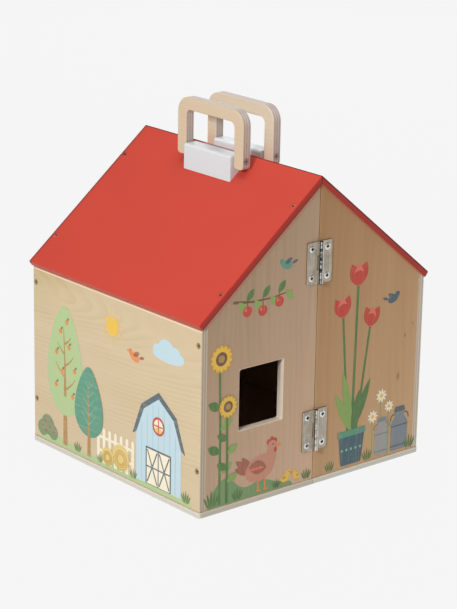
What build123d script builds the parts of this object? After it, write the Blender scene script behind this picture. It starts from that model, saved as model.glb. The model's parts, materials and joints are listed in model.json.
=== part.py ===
from build123d import *
import math
import os

os.makedirs("parts", exist_ok=True)

# Toy farmhouse carry case: two half houses hinged on the front gable, each with a floor panel,
# an outer side wall, half of both gables and a roof panel, and a grab handle beside the ridge.
# Lengths are millimetres. X runs across the gables, Y from the hinged gable to the rear, Z up.
# The origin lies on the table, in the middle of the closed case.

# House outline
house_width = 260.0          # between the outer faces of the side walls
house_depth = 240.0          # between the outer faces of the gables
eave_height = 163.0          # floor panel's top to the side wall's outer top edge
roof_pitch = 39.05           # degrees from level
seam_gap = 0.6               # between the two halves when closed

# Panels
base_thickness = 5.0
base_margin = 1.0            # floor panel proud of the walls
base_corner_radius = 3.0
wall_thickness = 6.4
gable_thickness = 7.6
roof_thickness = 6.4
gable_overhang = 1.5         # roof panel past each gable
roof_edge_radius = 1.5       # along the eave
edge_ease = 0.5              # sanded edges of the panels

# Window in the left half of the front gable
window_width = 49.6
window_height = 55.2
window_inset = 42.6          # side wall's outer face to the window
window_sill = 64.7           # above the floor panel
window_corner_radius = 2.0
window_edge_radius = 0.4

# Countersunk screws that hold the panels
panel_screw_head = 5.6
panel_screw_shank = 2.8
panel_screw_length = 22.0
panel_screw_sink = 0.3       # head below the surface
screw_fit = 0.05             # radial, shank and head in the wood
wall_screw_low = 37.0        # above the floor panel
wall_screw_below_eave = 14.0
roof_screw_near_ridge = 31.5     # down the slope from the ridge
roof_screw_near_eave = 133.0
base_screw_spacing = 150.0   # the two under a side wall
base_screw_from_wall = 66.0  # side wall's outer face to the screw under each gable

# Butt hinges
hinge_height = 38.0
hinge_open_width = 28.8
leaf_thickness = 1.2
leaf_corner_radius = 1.5
leaf_edge_radius = 0.25
knuckle_diameter = 4.6
knuckle_count = 3
knuckle_end_gap = 0.3        # between neighbouring knuckles
knuckle_standoff = 0.3       # between the knuckles and the gable
hinge_pin_diameter = 2.4
hinge_pin_fixed_fit = 0.02   # radial, in the left leaf's knuckles
hinge_pin_running_fit = 0.06     # radial, in the right leaf's knuckle
hinge_pin_proud = 0.5        # past each end of the knuckles
lower_hinge_middle = 46.5    # above the floor panel
upper_hinge_middle = 200.0
hinge_screw_offset = 8.9     # from the hinge axis
hinge_screw_spacing = 26.0
hinge_screw_head = 6.4
hinge_screw_shank = 2.8
hinge_screw_length = 6.8
hinge_screw_dome = 0.5       # head proud of the leaf

# Grab handles and the painted blocks that carry them
handle_offset = 17.4         # seam to the middle of a handle
handle_setback = 2.4         # from the house's mid depth towards the rear
handle_length = 90.0
handle_thickness = 9.1
handle_leg_width = 12.0
handle_bar_height = 11.5
handle_rise = 44.9           # pivot to the top of the bar
handle_tail = 7.8            # pivot to the bottom of a leg
handle_corner_radius = 14.5
handle_inner_radius = 5.5
handle_foot_radius = 3.5
handle_edge_radius = 0.8
pivot_rise = 13.2            # pivot above the roof's top surface, straight up
block_thickness = 15.6
block_rise = 3.5             # pivot to the top of the block
block_top_radius = 2.2
block_edge_radius = 0.8
handle_side_gap = 1.0        # between a leg and the end of its block
pivot_screw_head = 6.4
pivot_screw_shank = 4.0
pivot_screw_length = 27.0
pivot_fit = 0.1              # radial, shank in the leg
pivot_head_gap = 0.2         # between the head's cone and its seat
block_screw_length = 16.0
block_screw_spacing = 20.0
block_screw_shift = 3.3      # from the block's middle towards the seam, where it enters the block

# Closing magnets in the seam edges of the rear gable
magnet_diameter = 4.0
magnet_length = 3.0
magnet_fit = 0.05
magnet_low = 60.0            # above the floor panel
magnet_high = 200.0

# Cross recess of every screw
recess_width_share = 0.62    # of the head's diameter
recess_slot = 0.9
recess_depth = 1.1
head_cone = 45.0             # degrees, half of the countersink's angle

# Derived places
half_width = house_width / 2
seam_face = seam_gap / 2
slope = math.radians(roof_pitch)
eave_level = base_thickness + eave_height
apex_level = eave_level + half_width * math.tan(slope)
roof_drop = roof_thickness / math.cos(slope)     # roof thickness measured straight up
hinge_axis_gap = knuckle_diameter / 2 + knuckle_standoff
hinge_reach = hinge_axis_gap + knuckle_diameter / 2
overall_depth = hinge_reach + house_depth + gable_overhang
front_face = hinge_reach - overall_depth / 2
rear_face = front_face + house_depth
mid_depth = (front_face + rear_face) / 2
handle_mid = mid_depth + handle_setback
hinge_axis = front_face - hinge_axis_gap
front_mid = front_face + gable_thickness / 2     # middle of the front gable's thickness
rear_mid = rear_face - gable_thickness / 2
inner_wall = half_width - wall_thickness
pivot_level = apex_level + roof_drop - handle_offset * math.tan(slope) + pivot_rise
handle_gap_length = handle_length - 2 * handle_leg_width
block_length = handle_gap_length - 2 * handle_side_gap
window_mid = half_width - window_inset - window_width / 2
window_centre_level = base_thickness + window_sill + window_height / 2


def underside(x):
    """Height of the roof's underside at a distance x from the seam."""
    return apex_level - x * math.tan(slope)


def keep(piece, node):
    """Name a finished piece and write it."""
    piece.part.label = node
    export_step(piece.part, f"parts/{node}.step")


def roof_plane(side):
    """Plane on the roof's underside: origin at the ridge, local X down the slope, Z out of the roof."""
    down_slope = Vector(side * math.cos(slope), 0, -math.sin(slope))
    outward = Vector(side * math.sin(slope), 0, math.cos(slope))
    return Plane(origin=(0, 0, apex_level), x_dir=down_slope, z_dir=outward)


def cone_depth(head_diameter, shank_diameter):
    """Depth of a countersunk head's cone."""
    return (head_diameter - shank_diameter) / 2 / math.tan(math.radians(head_cone))


def wood_screw(head_diameter, shank_diameter, length, dome=0.0):
    """Cross-head screw: head's rim at the origin, shank down -Z, with an optional raised crown."""
    cone = cone_depth(head_diameter, shank_diameter)
    tip = shank_diameter
    with BuildPart() as screw:
        with BuildSketch(Plane.XZ):
            with BuildLine():
                Polyline(
                    (0, 0),
                    (head_diameter / 2, 0),
                    (shank_diameter / 2, -cone),
                    (shank_diameter / 2, tip - length),
                    (0, -length),
                    close=True,
                )
            make_face()
        revolve(axis=Axis.Z)
        if dome > 0:
            with BuildSketch(Plane.XZ):
                with BuildLine():
                    ThreePointArc(
                        (-head_diameter / 2, 0),
                        (0, dome),
                        (head_diameter / 2, 0),
                    )
                    Line((head_diameter / 2, 0), (-head_diameter / 2, 0))
                make_face()
                split(bisect_by=Plane.YZ, keep=Keep.TOP)
            revolve(axis=Axis.Z)
        with BuildSketch(Plane.XY.offset(dome)):
            Rectangle(head_diameter * recess_width_share, recess_slot)
            Rectangle(recess_slot, head_diameter * recess_width_share)
        extrude(amount=-recess_depth - dome, taper=12, mode=Mode.SUBTRACT)
    return screw.part


def screw_hole(head_diameter, shank_diameter, length, fit, sink=0.0, head_gap=None):
    """Solid that a screw's hole takes out: the screw's own shape, grown by its fit."""
    grow = fit if head_gap is None else head_gap
    cone = cone_depth(head_diameter, shank_diameter)
    reach = sink + 1.0
    with BuildPart() as hole:
        with BuildSketch(Plane.XZ):
            with BuildLine():
                Polyline(
                    (0, reach),
                    (head_diameter / 2 + grow, reach),
                    (head_diameter / 2 + grow, 0),
                    (shank_diameter / 2 + fit, -cone - grow + fit),
                    (shank_diameter / 2 + fit, -length - fit),
                    (0, -length - fit),
                    close=True,
                )
            make_face()
        revolve(axis=Axis.Z)
    return hole.part


panel_screw = wood_screw(panel_screw_head, panel_screw_shank, panel_screw_length)
panel_hole = screw_hole(
    panel_screw_head, panel_screw_shank, panel_screw_length, screw_fit, panel_screw_sink
)
block_screw = wood_screw(panel_screw_head, panel_screw_shank, block_screw_length)
block_hole = screw_hole(
    panel_screw_head, panel_screw_shank, block_screw_length, screw_fit, panel_screw_sink
)
hinge_screw = wood_screw(hinge_screw_head, hinge_screw_shank, hinge_screw_length, hinge_screw_dome)
hinge_hole = screw_hole(hinge_screw_head, hinge_screw_shank, hinge_screw_length, screw_fit)
pivot_screw = wood_screw(pivot_screw_head, pivot_screw_shank, pivot_screw_length)
pivot_leg_hole = screw_hole(
    pivot_screw_head, pivot_screw_shank, pivot_screw_length, pivot_fit, 0.0, pivot_head_gap
)
pivot_block_hole = screw_hole(pivot_screw_head, pivot_screw_shank, pivot_screw_length, screw_fit)


def facing(origin, outward):
    """Place of a screw whose head looks along outward and whose rim lies at origin."""
    return Plane(origin=origin, z_dir=outward).location


def wall_screw_spots(side):
    """Side wall into the gables' edges."""
    spots = []
    for y in (front_mid, rear_mid):
        for level in (wall_screw_low, eave_height - wall_screw_below_eave):
            origin = (side * (half_width - panel_screw_sink), y, base_thickness + level)
            spots.append(facing(origin, (side, 0, 0)))
    return spots


def roof_screw_spots(side):
    """Roof panel into the gables' sloping edges."""
    plane = roof_plane(side)
    spots = []
    for y in (front_mid, rear_mid):
        for down in (roof_screw_near_ridge, roof_screw_near_eave):
            rim = plane.from_local_coords((down, 0, roof_thickness - panel_screw_sink))
            spots.append(facing((rim.X, y, rim.Z), plane.z_dir))
    return spots


def base_screw_spots(side):
    """Floor panel up into the side wall and the gables."""
    wall_x = side * (half_width - wall_thickness / 2)
    gable_x = side * (half_width - base_screw_from_wall)
    places = [
        (wall_x, mid_depth - base_screw_spacing / 2),
        (wall_x, mid_depth + base_screw_spacing / 2),
        (gable_x, front_mid),
        (gable_x, rear_mid),
    ]
    return [facing((x, y, panel_screw_sink), (0, 0, -1)) for x, y in places]


def block_screw_spots(side):
    """Roof panel's underside up into the handle's block."""
    plane = roof_plane(side)
    start = handle_offset - block_screw_shift - roof_thickness * math.sin(slope)
    down = start / math.cos(slope)
    rim = plane.from_local_coords((down, 0, panel_screw_sink))
    spots = []
    for shift in (-block_screw_spacing / 2, block_screw_spacing / 2):
        spots.append(facing((rim.X, handle_mid + shift, rim.Z), -plane.z_dir))
    return spots


def pivot_screw_spots(side):
    """Handle legs into the ends of the block."""
    spots = []
    for end in (-1, 1):
        origin = (side * handle_offset, handle_mid + end * handle_length / 2, pivot_level)
        spots.append(facing(origin, (0, end, 0)))
    return spots


def hinge_screw_spots(side, middle):
    """Hinge leaf into the front gable."""
    spots = []
    for step in (-hinge_screw_spacing / 2, hinge_screw_spacing / 2):
        origin = (
            side * hinge_screw_offset,
            front_face - leaf_thickness,
            base_thickness + middle + step,
        )
        spots.append(facing(origin, (0, -1, 0)))
    return spots


def hinge_screws_of_half(side):
    """All hinge screws of one half."""
    return hinge_screw_spots(side, lower_hinge_middle) + hinge_screw_spots(side, upper_hinge_middle)


def magnet_spots(side):
    """Magnets flush with the seam edge of the rear gable, their length along X."""
    spots = []
    for level in (magnet_low, magnet_high):
        origin = (side * seam_face, rear_mid, base_thickness + level)
        spots.append(facing(origin, (side, 0, 0)))
    return spots


def drill(tool, spots):
    """Take a hole's solid out of the piece being built, at each spot."""
    with Locations(*spots):
        add(tool, mode=Mode.SUBTRACT)


def away_from_seam(edges):
    """The edges that don't lie in the seam."""
    return edges.filter_by(lambda edge: abs(edge.center().X) > seam_face + edge_ease)


def gable_blank(side, outer_face, outward):
    """Half gable between the seam and the side wall, its top along the roof's underside."""
    with BuildPart() as blank:
        with BuildSketch(Plane.XZ.offset(-outer_face)):
            with BuildLine():
                Polyline(
                    (side * seam_face, base_thickness),
                    (side * inner_wall, base_thickness),
                    (side * inner_wall, underside(inner_wall)),
                    (side * seam_face, underside(seam_face)),
                    close=True,
                )
            make_face()
        extrude(amount=-outward * gable_thickness)
        seam_edges = blank.edges().filter_by(Axis.Z).sort_by(lambda edge: abs(edge.center().X))[:2]
        fillet(seam_edges.sort_by(Axis.Y)[0 if outward > 0 else -1], edge_ease)
        drill(panel_hole, wall_screw_spots(side))
        drill(panel_hole, roof_screw_spots(side))
        drill(panel_hole, base_screw_spots(side))
    return blank.part


def hinge_leaf(side, middle, own_knuckles, pin_fit):
    """Flat leaf on the gable, rolled into its own knuckles round the hinge axis."""
    level = base_thickness + middle
    knuckle_pitch = hinge_height / knuckle_count
    knuckle_length = knuckle_pitch - knuckle_end_gap
    notch = knuckle_diameter / 2 + knuckle_standoff
    leaf_reach = hinge_open_width / 2
    with BuildPart() as leaf:
        with BuildSketch(Plane.XZ.offset(-front_face)):
            with Locations((side * (seam_face + leaf_reach) / 2, level)):
                Rectangle(leaf_reach - seam_face, hinge_height)
        extrude(amount=leaf_thickness)
        corners = leaf.edges().filter_by(Axis.Y).sort_by(Axis.X)
        fillet(corners[-2:] if side > 0 else corners[:2], leaf_corner_radius)
        fillet(away_from_seam(leaf.faces().sort_by(Axis.Y)[0].edges()), leaf_edge_radius)
        for index in range(knuckle_count):
            foot = level - hinge_height / 2 + index * knuckle_pitch + knuckle_end_gap / 2
            if index in own_knuckles:
                with BuildSketch(Plane.XY.offset(foot)):
                    with Locations((0, hinge_axis)):
                        Circle(knuckle_diameter / 2)
                extrude(amount=knuckle_length)
            else:
                with BuildSketch(Plane.XY.offset(foot - knuckle_end_gap)):
                    with Locations((0, hinge_axis)):
                        Rectangle(2 * notch, 2 * notch + leaf_thickness)
                extrude(amount=knuckle_length + 2 * knuckle_end_gap, mode=Mode.SUBTRACT)
        with BuildSketch(Plane.XY.offset(level - hinge_height)):
            with Locations((0, hinge_axis)):
                Circle(hinge_pin_diameter / 2 + pin_fit)
        extrude(amount=2 * hinge_height, mode=Mode.SUBTRACT)
        drill(hinge_hole, hinge_screw_spots(side, middle))
    return leaf


# The two half houses
for side, name in ((-1, "left"), (1, "right")):

    # Floor panel
    with BuildPart() as base:
        floor_reach = half_width + base_margin
        with BuildSketch(Plane.XY):
            with Locations((side * (seam_face + floor_reach) / 2, mid_depth)):
                Rectangle(floor_reach - seam_face, house_depth + 2 * base_margin)
        extrude(amount=base_thickness)
        outer_corners = base.edges().filter_by(Axis.Z).sort_by(Axis.X)
        fillet(outer_corners[-2:] if side > 0 else outer_corners[:2], base_corner_radius)
        fillet(away_from_seam(base.faces().sort_by(Axis.Z)[-1].edges()), edge_ease)
        fillet(away_from_seam(base.faces().sort_by(Axis.Z)[0].edges()), edge_ease)
        drill(panel_hole, base_screw_spots(side))
    keep(base, f"{name}_base")

    # Side wall, its top bevelled to the roof
    with BuildPart() as side_wall:
        with BuildSketch(Plane.XZ.offset(-front_face)):
            with BuildLine():
                Polyline(
                    (side * inner_wall, base_thickness),
                    (side * half_width, base_thickness),
                    (side * half_width, underside(half_width)),
                    (side * inner_wall, underside(inner_wall)),
                    close=True,
                )
            make_face()
        extrude(amount=-house_depth)
        corners = side_wall.edges().filter_by(Axis.Z).sort_by(lambda edge: abs(edge.center().X))
        fillet(corners[-2:], edge_ease)
        drill(panel_hole, wall_screw_spots(side))
        drill(panel_hole, base_screw_spots(side))
    keep(side_wall, f"{name}_side_wall")

    # Front half gable, with the window on the left
    with BuildPart() as front_gable:
        add(gable_blank(side, front_face, 1))
        if side < 0:
            with BuildSketch(Plane.XZ.offset(-front_face)):
                with Locations((side * window_mid, window_centre_level)):
                    RectangleRounded(window_width, window_height, window_corner_radius)
            extrude(amount=-gable_thickness, mode=Mode.SUBTRACT)
            rims = front_gable.edges(Select.LAST).filter_by(Plane.XZ)
            fillet(rims, window_edge_radius)
        drill(hinge_hole, hinge_screws_of_half(side))
    keep(front_gable, f"{name}_front_gable")

    # Rear half gable, drilled for the magnets
    with BuildPart() as rear_gable:
        add(gable_blank(side, rear_face, -1))
        with Locations(*magnet_spots(side)):
            Cylinder(
                magnet_diameter / 2 + magnet_fit,
                magnet_length + magnet_fit,
                align=(Align.CENTER, Align.CENTER, Align.MIN),
                mode=Mode.SUBTRACT,
            )
    keep(rear_gable, f"{name}_rear_gable")

    # Roof panel: plumb cut at the seam, square cut at the eave
    with BuildPart() as roof:
        lift_x = roof_thickness * math.sin(slope)
        lift_z = roof_thickness * math.cos(slope)
        with BuildSketch(Plane.XZ.offset(gable_overhang - front_face)):
            with BuildLine():
                Polyline(
                    (side * seam_face, underside(seam_face)),
                    (side * half_width, underside(half_width)),
                    (side * (half_width + lift_x), underside(half_width) + lift_z),
                    (side * seam_face, underside(seam_face) + roof_drop),
                    close=True,
                )
            make_face()
        extrude(amount=-house_depth - 2 * gable_overhang)
        eave_edges = roof.edges().filter_by(Axis.Y).sort_by(Axis.X)
        fillet(eave_edges[-2:] if side > 0 else eave_edges[:2], roof_edge_radius)
        for gable_end in (roof.faces().sort_by(Axis.Y)[0], roof.faces().sort_by(Axis.Y)[-1]):
            fillet(away_from_seam(gable_end.edges()), edge_ease)
        drill(panel_hole, roof_screw_spots(side))
        drill(block_hole, block_screw_spots(side))
    keep(roof, f"{name}_roof")

    # Painted block on the roof, between the handle's legs
    with BuildPart() as block:
        block_inner = handle_offset - block_thickness / 2
        block_outer = handle_offset + block_thickness / 2
        block_top = pivot_level + block_rise
        with BuildSketch(Plane.XZ.offset(block_length / 2 - handle_mid)):
            with BuildLine():
                Polyline(
                    (side * block_inner, underside(block_inner) + roof_drop),
                    (side * block_outer, underside(block_outer) + roof_drop),
                    (side * block_outer, block_top),
                    (side * block_inner, block_top),
                    close=True,
                )
            make_face()
        extrude(amount=-block_length)
        fillet(block.faces().sort_by(Axis.Z)[-1].edges().filter_by(Axis.Y), block_top_radius)
        block_ends = block.faces().filter_by(Axis.Y)
        bottom_edges = block.faces().filter_by(roof_plane(side)).edges()
        rim = [edge for edge in block_ends.edges() if edge not in bottom_edges]
        fillet(rim, block_edge_radius)
        drill(block_hole, block_screw_spots(side))
        drill(pivot_block_hole, pivot_screw_spots(side))
    keep(block, f"{name}_handle_block")

    # U-shaped handle, standing along the ridge
    with BuildPart() as handle:
        bar_top = pivot_level + handle_rise
        leg_foot = pivot_level - handle_tail
        handle_height = handle_rise + handle_tail
        gap_height = handle_height - handle_bar_height
        with BuildSketch(Plane.YZ.offset(side * handle_offset - handle_thickness / 2)):
            with Locations((handle_mid, (bar_top + leg_foot) / 2)):
                Rectangle(handle_length, handle_height)
            outer_top = vertices().group_by(Axis.Y)[-1]
            fillet(outer_top, handle_corner_radius)
            with Locations((handle_mid, leg_foot)):
                Rectangle(
                    handle_gap_length,
                    2 * gap_height,
                    mode=Mode.SUBTRACT,
                )
            inner_top = [
                corner
                for corner in vertices()
                if abs(corner.Y - leg_foot - gap_height) < handle_edge_radius
                and abs(corner.X - handle_mid) < handle_length / 2 - handle_corner_radius / 2
            ]
            fillet(inner_top, handle_inner_radius)
            fillet(vertices().group_by(Axis.Y)[0], handle_foot_radius)
        extrude(amount=handle_thickness)
        fillet(handle.faces().filter_by(Axis.X).edges(), handle_edge_radius)
        drill(pivot_leg_hole, pivot_screw_spots(side))
    keep(handle, f"{name}_handle")

    # Fasteners, one node for each kind on each half
    with BuildPart() as wall_screws:
        with Locations(*wall_screw_spots(side)):
            add(panel_screw)
    keep(wall_screws, f"{name}_wall_screws")

    with BuildPart() as roof_screws:
        with Locations(*roof_screw_spots(side)):
            add(panel_screw)
    keep(roof_screws, f"{name}_roof_screws")

    with BuildPart() as base_screws:
        with Locations(*base_screw_spots(side)):
            add(panel_screw)
    keep(base_screws, f"{name}_base_screws")

    with BuildPart() as block_screws:
        with Locations(*block_screw_spots(side)):
            add(block_screw)
    keep(block_screws, f"{name}_block_screws")

    with BuildPart() as pivot_screws:
        with Locations(*pivot_screw_spots(side)):
            add(pivot_screw)
    keep(pivot_screws, f"{name}_pivot_screws")

    with BuildPart() as hinge_screws:
        with Locations(*hinge_screws_of_half(side)):
            add(hinge_screw)
    keep(hinge_screws, f"{name}_hinge_screws")

    with BuildPart() as magnets:
        with Locations(*magnet_spots(side)):
            Cylinder(
                magnet_diameter / 2,
                magnet_length,
                align=(Align.CENTER, Align.CENTER, Align.MIN),
            )
    keep(magnets, f"{name}_magnets")

# The two butt hinges: the left leaf has the outer knuckles and holds the pin
outer_knuckles = range(0, knuckle_count, 2)
inner_knuckles = range(1, knuckle_count, 2)
for name, middle in (("lower", lower_hinge_middle), ("upper", upper_hinge_middle)):
    left_leaf = hinge_leaf(-1, middle, outer_knuckles, hinge_pin_fixed_fit)
    keep(left_leaf, f"{name}_hinge_left_leaf")

    right_leaf = hinge_leaf(1, middle, inner_knuckles, hinge_pin_running_fit)
    keep(right_leaf, f"{name}_hinge_right_leaf")

    with BuildPart() as pin:
        pin_length = hinge_height + 2 * hinge_pin_proud
        with Locations((0, hinge_axis, base_thickness + middle)):
            Cylinder(hinge_pin_diameter / 2, pin_length)
        fillet(pin.edges().filter_by(GeomType.CIRCLE), hinge_pin_proud * 0.8)
    keep(pin, f"{name}_hinge_pin")
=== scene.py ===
import json
import math

import bmesh
import bpy
from mathutils import Matrix, Vector


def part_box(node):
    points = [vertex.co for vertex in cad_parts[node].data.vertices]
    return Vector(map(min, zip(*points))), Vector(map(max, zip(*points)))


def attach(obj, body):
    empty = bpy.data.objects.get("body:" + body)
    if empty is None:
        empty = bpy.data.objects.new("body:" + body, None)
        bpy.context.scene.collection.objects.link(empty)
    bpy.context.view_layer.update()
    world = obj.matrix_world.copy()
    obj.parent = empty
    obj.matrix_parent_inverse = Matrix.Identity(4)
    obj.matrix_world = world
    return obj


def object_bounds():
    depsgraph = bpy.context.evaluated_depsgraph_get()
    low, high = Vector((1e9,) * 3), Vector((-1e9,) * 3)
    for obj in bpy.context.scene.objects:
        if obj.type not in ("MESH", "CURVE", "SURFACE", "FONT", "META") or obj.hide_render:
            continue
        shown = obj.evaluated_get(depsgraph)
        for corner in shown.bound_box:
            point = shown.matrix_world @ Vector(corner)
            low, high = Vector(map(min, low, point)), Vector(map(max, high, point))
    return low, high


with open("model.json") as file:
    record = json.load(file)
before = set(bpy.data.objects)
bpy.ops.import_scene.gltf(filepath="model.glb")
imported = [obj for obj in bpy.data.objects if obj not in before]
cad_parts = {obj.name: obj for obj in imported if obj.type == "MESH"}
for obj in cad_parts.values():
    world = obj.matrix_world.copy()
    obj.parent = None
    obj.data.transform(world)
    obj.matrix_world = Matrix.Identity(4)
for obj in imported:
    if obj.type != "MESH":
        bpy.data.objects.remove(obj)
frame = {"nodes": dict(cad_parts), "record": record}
parts = frame["nodes"]
cadLow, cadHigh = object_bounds()
scene = bpy.context.scene
print("farmhouse case: frame loaded,", len(parts), "parts")


# small tools for materials

def shade(red, green, blue):
    def linear(value):
        value /= 255
        return value / 12.92 if value <= 0.04045 else ((value + 0.055) / 1.055) ** 2.4
    return (linear(red), linear(green), linear(blue), 1.0)


def addNode(tree, kind, settings=None, sockets=None):
    made = tree.nodes.new(kind)
    for field, value in (settings or {}).items():
        setattr(made, field, value)
    for socket, value in (sockets or {}).items():
        if isinstance(value, bpy.types.NodeSocket):
            tree.links.new(value, made.inputs[socket])
        else:
            made.inputs[socket].default_value = value
    return made


def calc(tree, operation, first, second=0.0):
    return addNode(tree, "ShaderNodeMath", {"operation": operation}, {0: first, 1: second}).outputs[0]


def plus(tree, first, second):
    return calc(tree, "ADD", first, second)


def minus(tree, first, second):
    return calc(tree, "SUBTRACT", first, second)


def times(tree, first, second):
    return calc(tree, "MULTIPLY", first, second)


def vectorCalc(tree, operation, first, second=(0, 0, 0)):
    return addNode(tree, "ShaderNodeVectorMath", {"operation": operation}, {0: first, 1: second}).outputs


def stretch(tree, place, scale):
    return vectorCalc(tree, "MULTIPLY", place, scale)[0]


def farFrom(tree, place, centre, scale):  # distance from a point, each axis to a scale of its own
    offset = vectorCalc(tree, "SUBTRACT", place, centre)[0]
    return vectorCalc(tree, "LENGTH", stretch(tree, offset, scale))["Value"]


def axesOf(tree, place):
    return addNode(tree, "ShaderNodeSeparateXYZ", None, {0: place}).outputs


def objectPlace(tree):
    return addNode(tree, "ShaderNodeTexCoord").outputs["Object"]


def noise(tree, place, scale, detail=2.0, rough=0.5):
    spread = stretch(tree, place, scale)
    return addNode(tree, "ShaderNodeTexNoise", None,
                   {"Vector": spread, "Scale": 1.0, "Detail": detail, "Roughness": rough}).outputs["Fac"]


def ease(tree, value, start, end, low=0.0, high=1.0):
    return addNode(tree, "ShaderNodeMapRange", {"interpolation_type": "SMOOTHSTEP"},
                   {"Value": value, "From Min": start, "From Max": end, "To Min": low, "To Max": high}).outputs[0]


def sway(tree, place, scale, reach, detail=2.0):  # slow noise centred on nothing
    return times(tree, minus(tree, noise(tree, place, scale, detail), 0.5), reach)


def outside(tree, value, low, high):  # how far a value lies outside a span, negative within it
    return minus(tree, calc(tree, "ABSOLUTE", minus(tree, value, (low + high) / 2)), (high - low) / 2)


def atEnds(tree, along, ends, near, far):  # 1 up to near from either end, 0 beyond far
    return plus(tree, ease(tree, along, ends[0] + near, ends[0] + far, 1.0, 0.0),
                ease(tree, along, ends[1] - far, ends[1] - near))


def mixTones(tree, share, first, second, mode="MIX"):  # three numbers are a screen colour, four plain factors
    tones = [shade(*tone) if isinstance(tone, tuple) and len(tone) == 3 else tone for tone in (first, second)]
    made = addNode(tree, "ShaderNodeMix", {"data_type": "RGBA", "blend_type": mode, "clamp_factor": True},
                   {0: share, 6: tones[0], 7: tones[1]})
    return made.outputs[2]


def tinge(tree, tone, second, value, start, end, low=0.0, high=1.0):  # the second tone comes in with a value
    return mixTones(tree, ease(tree, value, start, end, low, high), tone, second)


def newLook(name, finish):
    look = bpy.data.materials.new(name)
    look.use_nodes = True
    surface = look.node_tree.nodes["Principled BSDF"]
    for socket, value in finish.items():  # the same all over, so set on the shader itself
        surface.inputs[socket].default_value = value
    return look, look.node_tree, surface


def axesTurn(along, outward):
    along, outward = Vector(along), Vector(outward)
    return Matrix((along, outward.cross(along), outward)).transposed().to_euler()


def placeOn(tree, cut):  # X along the grain, Y across it, Z out of the panel's face
    return addNode(tree, "ShaderNodeMapping", {"vector_type": "TEXTURE"},
                   {"Vector": objectPlace(tree), "Location": cut["corner"],
                    "Rotation": axesTurn(cut["along"], cut["outward"])}).outputs[0]


relief = {"ply": (0.25, 0.0002), "paint": (0.18, 0.0002), "steel": (0.12, 0.00005), "ink": (0.22, 0.0002)}


def addBump(tree, surface, height, kind):
    strength, distance = relief[kind]
    bump = addNode(tree, "ShaderNodeBump", None, {"Strength": strength, "Distance": distance, "Height": height})
    tree.links.new(bump.outputs[0], surface.inputs["Normal"])


# camera, light and floor

shot = {
    "place": (-1.2386, -1.4490, 0.7312),
    "turn": (1.2687, -0.0170, -0.7019),
    "lens": 129.92,
    "sensor": 36,
    "farClip": 60,
}
camera = bpy.data.objects.new("camera", bpy.data.cameras.new("camera"))
camera.data.lens = shot["lens"]
camera.data.sensor_width = shot["sensor"]
camera.data.clip_end = shot["farClip"]
camera.location = shot["place"]
camera.rotation_euler = shot["turn"]
scene.collection.objects.link(camera)
scene.camera = camera
scene.view_settings.view_transform = "Standard"

studio = {
    "sky": 0.20,
    "lamps": (
        {"name": "keyLight", "power": 30.0, "from": (-0.82, -0.38, 0.42), "size": 0.3, "away": 2.2},
        {"name": "topLight", "power": 26.0, "from": (-0.05, -0.05, 1.0), "size": 1.3, "away": 2.2},
        {"name": "backFill", "power": 22.0, "from": (0.78, 0.66, 0.46), "size": 1.8, "away": 2.4},
    ),
    "floorGlow": 0.895,
    "floorPaint": (0.02, 0.02, 0.02, 1),
    "floorHalf": 14,
    "floorDrop": 0.0001,
}
middle = (cadLow + cadHigh) / 2
world = bpy.data.worlds.new("studioSky")
world.use_nodes = True
world.node_tree.nodes["Background"].inputs["Color"].default_value = (1, 1, 1, 1)
world.node_tree.nodes["Background"].inputs["Strength"].default_value = studio["sky"]
scene.world = world

for lamp in studio["lamps"]:
    lampData = bpy.data.lights.new(lamp["name"], "AREA")
    lampData.energy = lamp["power"]
    lampData.size = lamp["size"]
    light = bpy.data.objects.new(lamp["name"], lampData)
    toward = Vector(lamp["from"]).normalized()
    light.location = middle + toward * lamp["away"]
    light.rotation_euler = toward.to_track_quat("Z", "Y").to_euler()
    scene.collection.objects.link(light)

floorShape = bmesh.new()
bmesh.ops.create_grid(floorShape, x_segments=1, y_segments=1, size=studio["floorHalf"])
floorMesh = bpy.data.meshes.new("studioFloor")
floorShape.to_mesh(floorMesh)
floorShape.free()
floor = bpy.data.objects.new("studioFloor", floorMesh)
floor.location.z = cadLow.z - studio["floorDrop"]
scene.collection.objects.link(floor)
floorMesh.materials.append(newLook("studioPaper", {
    "Base Color": studio["floorPaint"],
    "Roughness": 1.0,
    "Specular IOR Level": 0.0,
    "Emission Color": (1, 1, 1, 1),
    "Emission Strength": studio["floorGlow"],
})[0])
print("camera, light and floor placed")


# where each panel's grain and layers start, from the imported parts

wallLow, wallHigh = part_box("left_side_wall")
gableLow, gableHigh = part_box("left_front_gable")
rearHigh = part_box("left_rear_gable")[1]
roofLow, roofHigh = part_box("left_roof")
baseLow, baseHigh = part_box("left_base")
handleLow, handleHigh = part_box("left_handle")
blockLow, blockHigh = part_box("left_handle_block")
roofPitch = math.radians(39.05)
footLevel = wallLow.z
pivotLow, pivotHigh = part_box("left_pivot_screws")
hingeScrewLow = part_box("left_hinge_screws")[0]
pinLow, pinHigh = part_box("lower_hinge_pin")
pinLine = (pinLow + pinHigh) / 2
gaps = {gap["name"]: gap["box_m"] for gap in frame["record"]["physics"]["openings"]}
windowLow, windowHigh = (Vector(corner) for corner in gaps["window"])

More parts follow.
